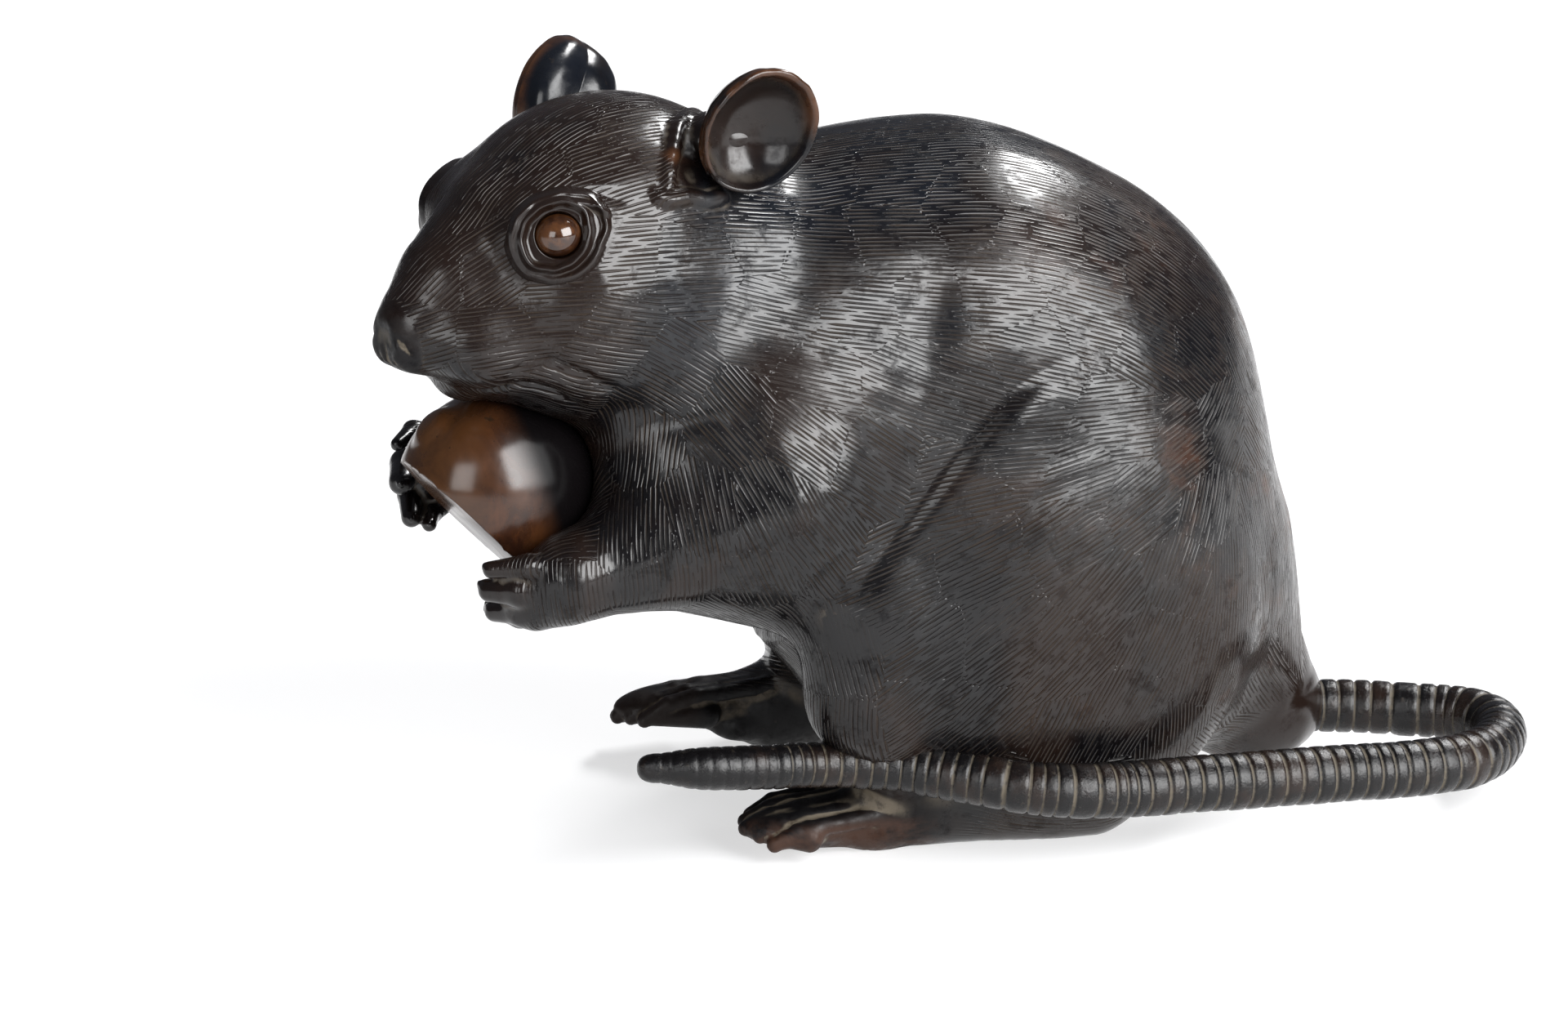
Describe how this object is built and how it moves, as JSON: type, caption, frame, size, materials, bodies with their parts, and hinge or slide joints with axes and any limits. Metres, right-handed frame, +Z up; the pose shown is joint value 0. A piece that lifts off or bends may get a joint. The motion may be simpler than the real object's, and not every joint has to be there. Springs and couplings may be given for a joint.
{
  "type": "rat okimono",
  "caption": "Cast bronze ornament of a crouching rat with a ringed tail, holding a chestnut between its forepaws.",
  "frame": {"origin": "on the ground under the middle of the whole piece", "axes": "-X is where the rat faces, -Y is its left side, +Z is up"},
  "size_m": [0.1775, 0.084, 0.1183],
  "materials": {
    "dark_bronze": "dark brown-black patinated bronze, satin, with worn brown edges and dusty hollows",
    "red_brown_bronze": "polished red-brown patinated bronze"
  },
  "bodies": {
    "root": {"rat": "dark_bronze", "chestnut": "red_brown_bronze"}
  },
  "joints": []
}
